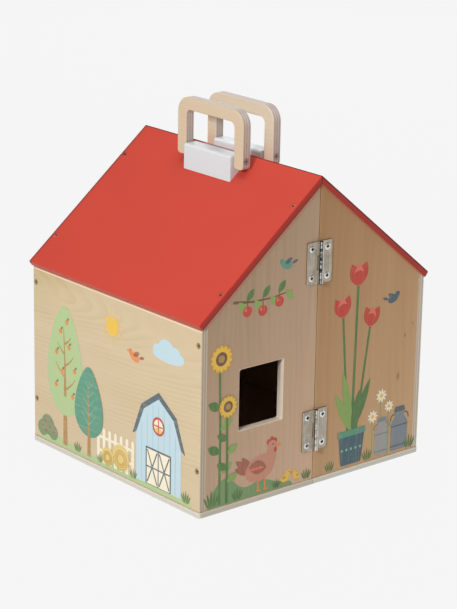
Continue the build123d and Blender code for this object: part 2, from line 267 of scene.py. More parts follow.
leftFace = {"corner": (wallLow.x, wallHigh.y, footLevel), "along": (0, -1, 0), "outward": (-1, 0, 0)}
rightFace = {"corner": (-wallLow.x, wallLow.y, footLevel), "along": (0, 1, 0), "outward": (1, 0, 0)}
frontFace = {"corner": (0, gableLow.y, footLevel), "along": (0, 0, 1), "outward": (0, -1, 0)}
rearFace = {"corner": (0, rearHigh.y, footLevel), "along": (0, 0, 1), "outward": (0, 1, 0)}
baseFace = {"corner": (0, 0, baseHigh.z), "along": (0, 1, 0), "outward": (0, 0, 1)}
leftSlope = {"corner": (0, 0, roofHigh.z), "along": (0, 1, 0),
             "outward": (-math.sin(roofPitch), 0, math.cos(roofPitch))}
rightSlope = {"corner": (0, 0, roofHigh.z), "along": (0, 1, 0),
              "outward": (math.sin(roofPitch), 0, math.cos(roofPitch))}
leftGrip = {"corner": (handleLow.x, handleHigh.y, handleLow.z), "along": (0, -1, 0), "outward": (-1, 0, 0)}
rightGrip = {"corner": (-handleHigh.x, handleHigh.y, handleLow.z), "along": (0, -1, 0), "outward": (-1, 0, 0)}
hingeFace = {"corner": (0, hingeScrewLow.y, 0), "along": (0, 0, 1), "outward": (0, -1, 0)}


# plywood

lacquer = {"Roughness": 0.52, "Specular IOR Level": 0.35}
grain = {  # noise per metre along the grain, across it and through the board
    "wander": (5, 20, 20), "ripple": (18, 60, 60), "lean": (3, 7, 7), "spacing": (2, 50, 50),
    "patch": (8, 40, 40), "fibre": (16, 620, 620), "fleck": (90, 1500, 1500), "broad": (2.5, 38, 38),
    "pores": (260, 260, 1900), "voids": (70, 70, 700),
}


def grainFigure(tree, place, figure):
    # veneer cut off a log: lines at a distance from its heart, unevenly spaced, bent, and faint in patches
    split = axesOf(tree, place)
    sideways = minus(tree, split[1], figure["heart"][0])
    sideways = plus(tree, sideways, sway(tree, place, grain["wander"], figure["wander"]))
    sideways = plus(tree, sideways, sway(tree, place, grain["ripple"], figure["ripple"]))
    deep = plus(tree, times(tree, split[0], figure["tilt"]), figure["heart"][1])
    deep = plus(tree, deep, sway(tree, place, grain["lean"], figure["wander"] * 1.5, 1.0))
    reach = calc(tree, "SQRT", plus(tree, times(tree, sideways, sideways), times(tree, deep, deep)))
    reach = plus(tree, reach, sway(tree, place, grain["spacing"], figure["ring"] * 1.6))
    ring = calc(tree, "FRACT", calc(tree, "DIVIDE", reach, figure["ring"]))
    line = times(tree, ease(tree, ring, 0.15, 0.85), ease(tree, ring, 0.85, 1.0, 1.0, 0.0))
    patch = ease(tree, noise(tree, place, grain["patch"]), 0.40, 0.62, 0.15, 1.0)
    fibre = noise(tree, place, grain["fibre"], 3.0, 0.6)
    fleck = ease(tree, noise(tree, place, grain["fleck"], 1.0), 0.62, 0.72)
    total = plus(tree, times(tree, times(tree, line, patch), figure["ringShare"]),
                 figure["mean"] - 0.2 * figure["ringShare"])
    total = plus(tree, total, times(tree, minus(tree, fibre, 0.5), figure["fibreShare"]))
    total = plus(tree, total, sway(tree, place, grain["broad"], figure["broadShare"], 3.0))
    total = plus(tree, total, times(tree, fleck, figure["fleckShare"]))
    for axis, rate, centre in figure.get("fade", ()):  # darker towards the top: painted shade; the ramp across the board is a drift in tone
        total = plus(tree, total, times(tree, minus(tree, split[axis], centre), rate))
    return total, fibre


def plyLook(name, cut, ply):
    look, tree, surface = newLook(name, lacquer)
    place = placeOn(tree, cut)
    split = axesOf(tree, place)
    figure, fibre = grainFigure(tree, place, ply["figure"])
    face = mixTones(tree, figure, ply["light"], ply["dark"])
    for along, across, size in ply.get("knots", ()):
        away = farFrom(tree, place, (along, across, 0), (0.45 / size, 1 / size, 0))
        face = tinge(tree, face, ply["knotTone"], away, 1.0, 0.15, 0.0, 0.75)
    if "amber" in ply:  # a patch of warmer, darker veneer
        centre, reach, tint = ply["amber"]
        away = farFrom(tree, place, (*centre, 0), (1 / reach[0], 1 / reach[1], 0))
        face = mixTones(tree, ease(tree, away, 0.2, 1.0, 1.0, 0.0), face, tint, "MULTIPLY")
    for start, tone in ply.get("eaveHighlightAndShade", ()):  # a painted highlight along a side wall's top edge, then a band of painted shade under the eave
        face = tinge(tree, face, tone, split[1], start, start + 0.0005, 0.0, 0.85)
    # plies seen on the panel's edges: alternate grain, thin glue lines between, a void here and there
    share = calc(tree, "DIVIDE", split[2], -ply["thickness"])
    count = times(tree, share, ply["plies"])
    crossed = calc(tree, "MODULO", calc(tree, "FLOOR", count), 2)
    glue = calc(tree, "ABSOLUTE", minus(tree, calc(tree, "FRACT", count), 0.5))
    voids = ease(tree, noise(tree, place, grain["voids"], 1.0), 0.68, 0.73, 0.0, 0.6)
    core = mixTones(tree, crossed, ply["edgeLight"], ply["edgeDark"])
    core = mixTones(tree, times(tree, noise(tree, place, grain["pores"]), 0.25), core, ply["edgeDark"])
    core = tinge(tree, core, ply["glue"], glue, 0.40, 0.47, 0.0, 0.5)
    core = mixTones(tree, voids, core, ply["glue"])
    back = tinge(tree, face, ply["edgeDark"], share, 0.5, 0.6, 0.0, 0.4)
    inside = calc(tree, "PINGPONG", share, 0.5)
    veneer = 0.8 / ply["plies"]  # the face veneers are thinner than the plies between them
    tone = tinge(tree, back, core, inside, veneer - 0.015, veneer + 0.015)
    if "inner" in ply:  # bare pale veneer inside the house
        tone = tinge(tree, tone, ply["inner"], share, 0.97, 0.99, 0.0, 0.8)
    if "foot" in ply:  # a hair of shadow and glue where the board meets the floor panel
        tone = tinge(tree, tone, ply["footTone"], split[ply["foot"]], 0.0003, 0.0006, 0.55, 0.0)
    if "roofRedBounce" in ply:  # painted red bounce light from the roof, lightening the shade on the board just under it
        level, tint = ply["roofRedBounce"]
        slope = plus(tree, split[0], times(tree, split[1], math.tan(roofPitch)))
        tone = tinge(tree, tone, tint, slope, level - 0.0052, level - 0.0012, 0.0, 0.55)
    if "reveal" in ply:  # sides of the window, sanded paler than the face; deeper in and towards the top they darken: painted shade
        upright, level = ply["reveal"]
        away = calc(tree, "MAXIMUM", outside(tree, split[0], *upright), outside(tree, split[1], *level))
        tone = tinge(tree, tone, ply["revealTone"], away, 0.0005, 0.0011, 0.3, 0.0)
        # painted shade: darker towards the top of the opening and deeper into it
        deep = mixTones(tree, ease(tree, split[0], *upright), *ply["revealShadeTones"])
        revealToneAndShade = tinge(tree, deep, ply["revealTone"], split[2], -0.0050, -0.0022)
        tone = tinge(tree, tone, revealToneAndShade, away, 0.0, 0.0003, 1.0, 0.0)
    if "crest" in ply:  # a handle's upper edge, tinted greyer and cooler
        worn = times(tree, ease(tree, split[1], ply["crest"] - 0.0045, ply["crest"] - 0.0008),
                     ease(tree, inside, 0.01, 0.04))
        tone = mixTones(tree, worn, tone, ply["crestTint"], "MULTIPLY")
    if "ends" in ply:  # end grain, darker and warmer than the long edges
        sawn = atEnds(tree, split[0], ply["ends"], 0.0002, 0.0005)
        tone = mixTones(tree, sawn, tone, ply["endTint"], "MULTIPLY")
    tree.links.new(tone, surface.inputs["Base Color"])
    addBump(tree, surface, fibre, "ply")
    return look


# where the painted highlight under the eave begins, measured up from the wall's foot
eaveHighlightLevel = roofLow.z - footLevel - 0.0026
sidePly = {
    "thickness": 0.0064, "plies": 5, "foot": 1, "footTone": (104, 84, 64),
    "light": (221, 203, 170), "dark": (186, 160, 120), "inner": (236, 216, 184),
    "edgeLight": (194, 181, 165), "edgeDark": (170, 154, 138), "glue": (143, 129, 112),
    "eaveHighlightAndShade": ((eaveHighlightLevel, (244, 214, 186)), (eaveHighlightLevel + 0.0012, (178, 112, 92))),
    "amber": ((0.0, 0.170), (0.10, 0.058), (0.90, 0.89, 0.77, 1)),
    "figure": {"heart": (0.150, 0.012), "tilt": 0.13, "ring": 0.0036, "wander": 0.020, "ripple": 0.0015,
               "mean": 0.44, "ringShare": 0.16, "fibreShare": 0.22, "broadShare": 0.36, "fleckShare": 0.05},
}
gablePly = dict(sidePly, **{
    "thickness": 0.0076, "foot": 0, "eaveHighlightAndShade": (),
    "light": (216, 181, 150), "dark": (155, 128, 101),
    "figure": {"heart": (-0.16, 0.05), "tilt": 0.03, "ring": 0.0068, "wander": 0.030, "ripple": 0.003,
               "mean": 0.48, "ringShare": 0.09, "fibreShare": 0.16, "broadShare": 0.26, "fleckShare": 0.03,
               "fade": ((0, 2.1, 0.11), (1, 2.2, 0.02))},
})
windowedPly = dict(gablePly, **{
    "reveal": ((windowLow.z - footLevel - 0.001, windowHigh.z - footLevel + 0.001),
               (-windowHigh.x - 0.001, -windowLow.x + 0.001)),
    "revealTone": (222, 205, 187), "revealShadeTones": ((214, 198, 180), (156, 144, 130)),
    "roofRedBounce": (gableHigh.z - footLevel, (248, 160, 130)),
})
warmGablePly = dict(gablePly, **{
    "light": (206, 168, 127), "dark": (154, 111, 65),
    "figure": {"heart": (-0.20, 0.03), "tilt": 0.02, "ring": 0.0084, "wander": 0.024, "ripple": 0.003,
               "mean": 0.48, "ringShare": 0.07, "fibreShare": 0.14, "broadShare": 0.30, "fleckShare": 0.03,
               "fade": ((0, 1.75, 0.13), (1, 1.9, -0.05))},
    "knots": ((0.0746, -0.1022, 0.0026), (0.1123, -0.1089, 0.0016), (0.1219, -0.1180, 0.0012)),
    "knotTone": (140, 100, 66),
})
basePly = {
    "thickness": 0.005, "plies": 3, "ends": (baseLow.y, baseHigh.y), "endTint": (0.885, 0.845, 0.79, 1),
    "light": (221, 211, 193), "dark": (206, 194, 174),
    "edgeLight": (218, 215, 207), "edgeDark": (201, 198, 188), "glue": (173, 169, 158),
    "figure": {"heart": (0.2, 0.04), "tilt": 0.02, "ring": 0.005, "wander": 0.02, "ripple": 0.004,
               "mean": 0.45, "ringShare": 0.2, "fibreShare": 0.3, "broadShare": 0.4, "fleckShare": 0.05},
}
handlePly = {
    "thickness": 0.0091, "plies": 7, "crest": handleHigh.z - handleLow.z, "crestTint": (0.82, 0.83, 0.86, 1),
    "light": (216, 197, 170), "dark": (192, 169, 137),
    "edgeLight": (209, 194, 185), "edgeDark": (181, 165, 156), "glue": (144, 126, 118),
    "figure": {"heart": (0.12, 0.03), "tilt": 0.04, "ring": 0.0042, "wander": 0.012, "ripple": 0.003,
               "mean": 0.42, "ringShare": 0.16, "fibreShare": 0.24, "broadShare": 0.40, "fleckShare": 0.05},
}


def cover(look, *names):
    for name in names:
        parts[name].material_slots[0].material = look


cover(plyLook("leftWallPly", leftFace, sidePly), "left_side_wall")
paleSidePly = dict(sidePly, edgeLight=(212, 199, 185), edgeDark=(189, 174, 160), glue=(170, 156, 142))
cover(plyLook("rightWallPly", rightFace, paleSidePly), "right_side_wall")
cover(plyLook("leftGablePly", frontFace, windowedPly), "left_front_gable")
cover(plyLook("rightGablePly", frontFace, warmGablePly), "right_front_gable")
cover(plyLook("rearGablePly", rearFace, gablePly), "left_rear_gable", "right_rear_gable")
cover(plyLook("leftFloorPly", baseFace, basePly), "left_base")
farBasePly = dict(basePly, endTint=(1, 1, 1, 1), edgeLight=(221, 218, 211))
cover(plyLook("rightFloorPly", baseFace, farBasePly), "right_base")
cover(plyLook("leftHandlePly", leftGrip, handlePly), "left_handle")
farHandlePly = dict(handlePly, light=(223, 209, 187), dark=(199, 180, 153))
cover(plyLook("rightHandlePly", rightGrip, farHandlePly), "right_handle")
print("plywood finished")


# painted wood

def paintLook(name, cut, paint):
    look, tree, surface = newLook(name, paint["finish"])
    place = placeOn(tree, cut)
    fibre = noise(tree, place, (14, 420, 420), 3.0, 0.6)
    tone = mixTones(tree, noise(tree, place, (9, 14, 14)), paint["light"], paint["dark"])
    if "ends" in paint:  # the panel's sawn ends drink more paint; their darkening towards the bottom is painted shade
        split = axesOf(tree, place)
        share = calc(tree, "DIVIDE", split[2], -paint["thickness"])
        depth = plus(tree, share, sway(tree, place, (26, 26, 1500), 0.9))
        endToneAndShade = mixTones(tree, depth, paint["endLight"], paint["endDark"])
        endToneAndShade = tinge(tree, endToneAndShade, paint["lipTone"], share, 0.14, 0.26, paint["lip"], 0.0)
        endToneAndShade = tinge(tree, endToneAndShade, paint["bareTone"], share, 0.84, 0.92, 0.0, paint["bare"])
        tone = mixTones(tree, atEnds(tree, split[0], paint["ends"], 0.0004, 0.0010), tone, endToneAndShade)
        rear = paint["ends"][1]  # darker towards the rear end
        tone = tinge(tree, tone, paint["rearTone"], split[0], rear - 0.0044, rear - 0.0005, 0.0, 0.64)
        down = calc(tree, "ABSOLUTE", split[1])  # from the ridge, where the two panels meet
        # painted shadow of the gap along the ridge, where the two panels meet
        tone = tinge(tree, tone, paint["lipTone"], down, 0.0006, 0.0012, 0.8, 0.0)
        shadeBetweenBlocks = times(tree, ease(tree, outside(tree, split[0], *paint["blockShadeSpan"]), -0.002, 0.001, 0.8, 0.0),
                         ease(tree, down, 0.0030, 0.0060, 1.0, 0.0))
        tone = mixTones(tree, shadeBetweenBlocks, tone, paint["blockShadeTone"])  # painted shade on the roof between the two handle blocks
        eave = times(tree, ease(tree, down, paint["eave"] - 0.0010, paint["eave"] - 0.0004),
                     ease(tree, share, 0.35, 0.85, 0.15, 0.9))
        tone = mixTones(tree, eave, tone, paint["eaveShadeTone"])  # painted shade under the eave's sawn edge
    tree.links.new(tone, surface.inputs["Base Color"])
    peel = noise(tree, place, (700, 700, 700))
    addBump(tree, surface, plus(tree, fibre, times(tree, peel, 0.4)), "paint")
    return look


roofPaint = {
    "finish": {"Roughness": 0.46, "Specular IOR Level": 0.24},
    "thickness": 0.0064, "ends": (roofLow.y, roofHigh.y), "eave": -roofLow.x / math.cos(roofPitch),
    "light": (195, 70, 55), "dark": (188, 65, 51),
    "endLight": (176, 46, 34), "endDark": (134, 49, 36), "lip": 0.0, "lipTone": (78, 22, 18),
    "bare": 0.1, "bareTone": (168, 128, 94), "eaveShadeTone": (146, 88, 70), "rearTone": (80, 58, 56),
    "blockShadeSpan": (blockLow.y, blockHigh.y), "blockShadeTone": (150, 134, 132),
}
blockPaint = {
    "finish": {"Roughness": 0.45, "Specular IOR Level": 0.3},
    "light": (214, 217, 219), "dark": (208, 212, 215),
}
cover(paintLook("leftRoofPaint", leftSlope, roofPaint), "left_roof")
farRoofPaint = dict(roofPaint, lip=0.75, bare=0.65, endLight=(174, 52, 44), endDark=(160, 50, 38))
cover(paintLook("rightRoofPaint", rightSlope, farRoofPaint), "right_roof")
cover(paintLook("blockPaint", leftGrip, blockPaint), "left_handle_block")
# the far block's white made lighter and cooler than the near one's: painted light against the shade and red bounce
# it sits in
farBlockPaintLightened = dict(blockPaint, light=(222, 230, 232), dark=(216, 225, 228))
cover(paintLook("farBlockPaintLightened", rightGrip, farBlockPaintLightened), "right_handle_block")
print("paint finished")


# steel

def headDepth(tree, head):  # how far below a screw's face a point lies
    if "span" in head:  # screws that face both ways
        above = outside(tree, axesOf(tree, objectPlace(tree))[1], *head["span"])
    else:
        above = axesOf(tree, placeOn(tree, head["cut"]))[2]
    return times(tree, above, -1.0)


def steelLook(name, steel, head=None):
    look, tree, surface = newLook(name, {"Metallic": steel["metal"],
                                         "Specular IOR Level": steel.get("specular", 0.5)})
    where = objectPlace(tree)
    blotch = noise(tree, where, (160, 160, 160), 3.0)
    brush = noise(tree, where, (2600, 2600, 180))
    streak = noise(tree, where, (900, 900, 50))
    worn = times(tree, plus(tree, ease(tree, blotch, 0.2, 0.8), ease(tree, streak, 0.3, 0.7)), 0.5)
    tone = mixTones(tree, worn, steel["light"], steel["dark"])
    if head:  # dirt and shade in the cross recess
        below = minus(tree, headDepth(tree, head), head.get("sink", 0.0))
        tone = tinge(tree, tone, steel["recessTone"], below, *steel["recess"])
        if "crown" in steel:  # painted shade round the cross in the domed head's middle
            tone = tinge(tree, tone, steel["recessTone"], below, *steel["crown"], 0.9, 0.0)
    if "barrel" in steel:  # the knuckles: painted dark reflection in lighter patches, painted glints in dashes, a painted highlight at the bend, painted shadow in the slot by the left leaf, and that leaf painted lighter beside the barrel against its shade
        offset = vectorCalc(tree, "SUBTRACT", where, steel["barrel"])[0]
        across = vectorCalc(tree, "DOT_PRODUCT", offset, steel["round"])["Value"]
        away = farFrom(tree, where, steel["barrel"], (1, 1, 0))
        # painted glints: bright dashes on the barrel's bright side
        glintDashes = times(tree, ease(tree, noise(tree, where, (40, 40, 330)), 0.46, 0.56),
                     ease(tree, across, 0.0005, 0.0009, 1.0, 0.0))
        # the left leaf beside the barrel painted lighter against the barrel's shade
        beside = times(tree, ease(tree, away, 0.0024, 0.0064, 0.55, 0.0),
                       ease(tree, across, -0.0010, 0.0, 1.0, 0.0))
        tone = mixTones(tree, beside, tone, steel["beside"])
        # painted dark reflection on the barrel, lighter in patches
        film = ease(tree, noise(tree, where, (50, 50, 120), 1.0), 0.40, 0.60)
        rubbed = mixTones(tree, film, steel["oil"], steel["film"])
        rubbed = mixTones(tree, glintDashes, rubbed, steel["rubbed"])
        # painted highlight at the bend; painted shadow in the slot by the left leaf
        rubbed = tinge(tree, rubbed, steel["bend"], across, 0.0014, 0.0018)
        rubbed = tinge(tree, rubbed, steel["slotShadow"], across, -0.0007, -0.0004, 1.0, 0.0)
        rubbed = tinge(tree, rubbed, tone, across, -0.0017, -0.0013, 1.0, 0.0)
        tone = tinge(tree, tone, rubbed, away, 0.00238, 0.00246, 1.0, 0.0)
    tree.links.new(tone, surface.inputs["Base Color"])
    tree.links.new(ease(tree, blotch, 0.2, 0.8, steel["gloss"], steel["gloss"] + 0.12), surface.inputs["Roughness"])
    addBump(tree, surface, brush, "steel")
    return look


panelRecess = {"recess": (0.00012, 0.00045)}
screwSink = 0.0003  # how far the heads lie below the panels' faces
# hinge leaf tones; the barrel's tones are painted reflection, glints, highlight and shadow
hingeSteel = {"light": (190, 182, 166), "dark": (154, 146, 132), "gloss": 0.30, "metal": 1.0,
              "barrel": (pinLine.x, pinLine.y, 0), "round": (0.768, -0.641, 0), "oil": (58, 62, 62),
              "film": (118, 122, 116), "rubbed": (204, 202, 196), "bend": (222, 214, 206), "slotShadow": (28, 23, 18),
              "beside": (232, 225, 212)}
# the lower hinge: lighter painted shade and reflection on its barrel
softShadeHingeSteel = dict(hingeSteel, oil=(140, 137, 130), film=(176, 173, 164), rubbed=(228, 224, 216),
                       slotShadow=(62, 56, 48))
brightSteel = {"light": (236, 234, 230), "dark": (214, 211, 206), "gloss": 0.18, "metal": 1.0,
               "recess": (0.00055, 0.00080), "crown": (0.00005, 0.00011), "recessTone": (30, 26, 22)}
pivotSteel = dict(panelRecess, **{"light": (186, 172, 164), "dark": (158, 144, 138), "gloss": 0.5, "metal": 0.35,
                                  "recessTone": (126, 92, 96)})
wallSteel = dict(panelRecess, **{"light": (176, 158, 128), "dark": (140, 120, 90), "gloss": 0.5, "metal": 0.3,
                                 "recessTone": (96, 74, 46)})
# roof screw heads: the red tones and dark red patches are a painted reflection of the red roof in the steel
roofSteel = dict(panelRecess, **{"light": (206, 112, 96), "dark": (112, 26, 18), "gloss": 0.7, "metal": 0.0,
                                 "specular": 0.08, "recessTone": (44, 2, 0)})
hingeLooks = {"upper": steelLook("hingeNickel", hingeSteel),
              "lower": steelLook("softShadeHingeNickel", softShadeHingeSteel)}
brightLook = steelLook("screwNickel", brightSteel, {"cut": hingeFace})
pivotLook = steelLook("pivotScrewZinc", pivotSteel, {"span": (pivotLow.y, pivotHigh.y)})
for level in ("lower", "upper"):
    cover(hingeLooks[level], f"{level}_hinge_left_leaf", f"{level}_hinge_right_leaf")
    cover(brightLook, f"{level}_hinge_pin")
for half, wallFace, slope in (("left", leftFace, leftSlope), ("right", rightFace, rightSlope)):
    cover(brightLook, f"{half}_hinge_screws", f"{half}_magnets")
    cover(pivotLook, f"{half}_pivot_screws")
    cover(steelLook(half + "WallScrewZinc", wallSteel, {"cut": wallFace, "sink": screwSink}), f"{half}_wall_screws")
    cover(steelLook(half + "RoofScrewRedReflection", roofSteel, {"cut": slope, "sink": screwSink}), f"{half}_roof_screws")
    cover(steelLook(half + "HiddenScrewZinc", wallSteel), f"{half}_base_screws", f"{half}_block_screws")
print("steel finished")


# prints on the boards: flat ink shapes, drawn in millimetres to the right and up from a board's corner

boards = {
    "leftWall": {"cut": leftFace, "body": "left_half", "wood": (214, 192, 156)},
    "rightWall": {"cut": rightFace, "body": "right_half", "wood": (214, 192, 156)},
    "leftFront": {"cut": frontFace, "body": "left_half", "wood": (190, 162, 132)},
    "rightFront": {"cut": frontFace, "body": "right_half", "wood": (190, 158, 122)},
    "leftRear": {"cut": rearFace, "body": "left_half", "wood": (190, 162, 132)},
    "rightRear": {"cut": rearFace, "body": "right_half", "wood": (190, 162, 132)},
}
inks = {
    "lime": (172, 196, 140), "moss": (112, 148, 98), "sage": (120, 140, 104), "teal": (84, 148, 124),
    "mint": (126, 178, 150), "fern": (78, 120, 66), "grass": (132, 164, 88), "slate": (78, 98, 108),
    "lake": (60, 96, 108), "sky": (186, 212, 222), "haze": (160, 192, 206), "cream": (240, 230, 206),
    "straw": (222, 196, 118), "corn": (232, 186, 66), "honey": (190, 150, 74), "bark": (172, 134, 78),
    "umber": (108, 78, 56), "clay": (196, 136, 112), "rust": (160, 96, 76), "berry": (192, 62, 52),
    "rose": (222, 110, 96), "amber": (226, 132, 60), "ash": (158, 156, 152), "steel": (122, 134, 142),
    "soot": (52, 48, 48),
}
inkFinish = {"Roughness": 0.5, "Specular IOR Level": 0.35}
inkFilm = {"start": 0.05, "layer": 0.03, "shape": 0.008}  # millimetres proud of the wood


def inkLook(board, ink):
    wood = "".join(str(value) for value in board["wood"])
    name = ink + "Ink" + wood + ("Z" if board["cut"]["along"][2] else "Y")
    if name in bpy.data.materials:
        return bpy.data.materials[name]
    look, tree, surface = newLook(name, inkFinish)
    place = placeOn(tree, board["cut"])
    fibre = noise(tree, place, grain["fibre"], 3.0, 0.6)
    blot = noise(tree, place, (120, 260, 260))
    worn = plus(tree, ease(tree, fibre, 0.42, 0.75, 0.02, 0.24), ease(tree, blot, 0.5, 0.75, 0.0, 0.10))
    tree.links.new(mixTones(tree, worn, inks[ink], board["wood"]), surface.inputs["Base Color"])
    addBump(tree, surface, fibre, "ink")
    return look


def layInk(sheet, ink, place):
    fresh = [point for point in sheet["shape"].verts if point.co.z == 0]  # the rest is lifted already
    bmesh.ops.transform(sheet["shape"], matrix=place, verts=fresh)
    if ink not in sheet["inks"]:
        sheet["inks"].append(ink)
    for point in fresh:
        point.co.z = sheet["lift"]
        for face in point.link_faces:
            face.material_index = sheet["inks"].index(ink)
    sheet["lift"] += inkFilm["shape"]


def placeAt(centre, turn=0.0, size=(1, 1)):
    return (Matrix.Translation((*centre, 0)) @ Matrix.Rotation(math.radians(turn), 4, "Z")
            @ Matrix.Diagonal((*size, 1, 1)))


def disc(sheet, ink, centre, size, turn=0.0, taper=0.0, corners=28):
    points = bmesh.ops.create_circle(sheet["shape"], cap_ends=True, segments=corners, radius=0.5)["verts"]
    for point in points:
        point.co.x *= 1 + 2 * taper * point.co.y
    layInk(sheet, ink, placeAt(centre, turn, size))


def petal(sheet, ink, root, size, turn):  # pointed at both ends, grows from its root
    points = bmesh.ops.create_circle(sheet["shape"], cap_ends=True, segments=20, radius=0.5)["verts"]
    for point in points:
        point.co.y *= 2 * abs(point.co.y)
        point.co.x += 0.5
    layInk(sheet, ink, placeAt(root, turn, size))


def cutOut(sheet, ink, corners, rounding=0.0):
    shape = sheet["shape"]
    points = [shape.verts.new((*corner, 0)) for corner in corners]
    shape.faces.new(points)
    if rounding:
        bmesh.ops.bevel(shape, geom=points, offset=rounding, offset_type="OFFSET", affect="VERTICES",
                        segments=5, profile=0.5, material=-1)
    layInk(sheet, ink, Matrix.Identity(4))


def stroke(sheet, ink, start, heading, length, width, bend=0.0, tip=1.0, shrink=1.0):
    # a brush line: one short edge pulled along an arc, step by step
    shape = sheet["shape"]
    steps = 2 + int(abs(bend) / 14)
    share = sum(shrink ** step for step in range(steps))
    edge = shape.edges.new([shape.verts.new((0, width / 2, 0)), shape.verts.new((0, -width / 2, 0))])
    turned = Matrix.Rotation(math.radians(bend / steps), 4, "Z") @ Matrix.Scale(tip ** (1 / steps), 4)
    for step in range(steps):
        made = bmesh.ops.extrude_edge_only(shape, edges=[edge])["geom"]
        ends = [item for item in made if isinstance(item, bmesh.types.BMVert)]
        edge = shape.edges.get(ends)
        middle = (ends[0].co + ends[1].co) / 2
        across = (ends[0].co - ends[1].co).normalized()
        onward = Vector((across.y, -across.x, 0)) * length * shrink ** step / share
        place = Matrix.Translation(middle + onward) @ turned @ Matrix.Translation(-middle)
        bmesh.ops.transform(shape, matrix=place, verts=ends)
    layInk(sheet, ink, placeAt(start, heading))


def meadow(sheet, ink, left, right, rises, foot=0.8, base=4.0):  # low rolling ground along a board's foot
    points = bmesh.ops.create_grid(sheet["shape"], x_segments=48, y_segments=1, size=0.5)["verts"]
    width = right - left
    for point in points:
        along = (point.co.x + 0.5) * width
        rounding = min(1.0, along / 5, (width - along) / 5)  # the strip's ends come down in a curve
        rise = sum(high * math.exp(-((along - centre) / reach) ** 2) for centre, reach, high in rises)
        top = foot + (base + rise) * math.sqrt(max(0.02, 1 - (1 - rounding) ** 2))
        point.co.y = top if point.co.y > 0 else foot
        point.co.x = left + along
    layInk(sheet, ink, Matrix.Identity(4))


def layPrints(board, prints):  # a print's name, how many layers of ink lie below it, and what it shows in turn
    for name, layer, *motifs in prints:
        sheet = {"shape": bmesh.new(), "inks": [], "lift": inkFilm["start"] + inkFilm["layer"] * layer}
        for draw, *plan in motifs:
            draw(sheet, *plan)
        finishPrint(sheet, boards[board], board + name)


def finishPrint(sheet, board, name):
    shape = sheet["shape"]
    shape.normal_update()
    bmesh.ops.reverse_faces(shape, faces=[face for face in shape.faces if face.normal.z < 0])
    outward, up = Vector(board["cut"]["outward"]), Vector((0, 0, 1))
    turn = Matrix((up.cross(outward), up, outward)).transposed().to_4x4()
    place = Matrix.Translation(board["cut"]["corner"]) @ turn @ Matrix.Scale(0.001, 4)
    bmesh.ops.transform(shape, matrix=place, verts=shape.verts)
    mesh = bpy.data.meshes.new(name)
    shape.to_mesh(mesh)
    shape.free()
    for ink in sheet["inks"]:
        mesh.materials.append(inkLook(board, ink))
    piece = bpy.data.objects.new(name, mesh)
    scene.collection.objects.link(piece)
    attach(piece, board["body"])


def scaled(x, y, size, side=1):  # places on a motif in shares of its size, facing left where side is -1
    return lambda across, up: (x + side * across * size, y + up * size)


def around(x, y, reach, turn):
    return x + reach * math.cos(math.radians(turn)), y + reach * math.sin(math.radians(turn))


def evenCutOut(sheet, ink, place, size, rightSide, rounding=0.0):  # the same to the left as to the right
    corners = [*rightSide, *((-across, up) for across, up in reversed(rightSide))]
    cutOut(sheet, ink, [(place[0] + across * size[0], place[1] + up * size[1]) for across, up in corners], rounding)


def tufts(sheet, y, spots, blades=5):
    for x, height in spots:
        for step in range(blades):
            lean = (step - (blades - 1) / 2) / blades
            size = (height * (1 - abs(lean) * 0.6), height * 0.13)
            petal(sheet, "fern", (x + lean * height * 0.5, y), size, 90 - lean * 62)


def poplar(sheet, x, y, plan):
    stroke(sheet, "bark", (x, y), 90, plan["trunk"], plan["girth"], 0, 0.7)
    width, height = plan["crown"]
    middle = y + plan["trunk"] * 0.55 + height / 2
    disc(sheet, plan["ink"], (x, middle), (width, height), 0, -0.28, 40)
    stroke(sheet, "bark", (x, y + plan["trunk"] * 0.9), 90, height * 0.62, plan["girth"] * 0.62, 6, 0.25)
    for step, (up, side) in enumerate(((0.16, 1), (0.27, -1), (0.38, 1), (0.48, -1), (0.58, 1))):
        level = middle + (up - 0.42) * height
        reach = width * (0.40 - 0.04 * step)
        stroke(sheet, "bark", (x, level), 90 - side * 58, reach, plan["girth"] * 0.4, side * 26, 0.3)
    for across, up in plan["fruit"]:
        disc(sheet, plan["fruitInk"], (x + across * width, middle + up * height), (plan["girth"] * 0.72,) * 2)
        petal(sheet, "fern", (x + across * width, middle + up * height + plan["girth"] * 0.3),
              (plan["girth"] * 0.7, plan["girth"] * 0.3), 40)


def featherCrown(sheet, x, y, plan):  # trunk and a plain crown with light veins
    width, height = plan["crown"]
    middle = y + plan["trunk"] + height * 0.42
    disc(sheet, plan["ink"], (x, middle), (width, height), 0, -0.36, 36)
    stroke(sheet, plan["trunkInk"], (x, y), 90, plan["trunk"] + height * 0.66, plan["girth"], 3, 0.25)
    for step in range(5):
        level = middle - height * (0.32 - 0.13 * step)
        for side in (-1, 1):
            reach = width * (0.36 - 0.035 * step)
            stroke(sheet, plan["veinInk"], (x, level), 90 - side * 50, reach, 1.1, side * 16, 0.4)


def bush(sheet, x, y, width, ink, fruitInk):
    at = scaled(x, y, width)
    for across, up, size in ((-0.26, 0.24, 0.52), (0.27, 0.22, 0.50), (0.0, 0.40, 0.66)):
        disc(sheet, ink, at(across, up), (size * width,) * 2)
    for across, up in ((-0.30, 0.30), (-0.12, 0.50), (0.10, 0.34), (0.28, 0.24), (0.16, 0.58), (-0.10, 0.18)):
        disc(sheet, fruitInk, at(across, up), (width * 0.085,) * 2, corners=14)


barn = {"width": 62, "wall": 44, "knee": 68, "top": 82, "shoulder": 0.66, "eave": 5.5, "doors": (32, 33),
        "frame": 1.6, "boards": 8, "hatch": 57}


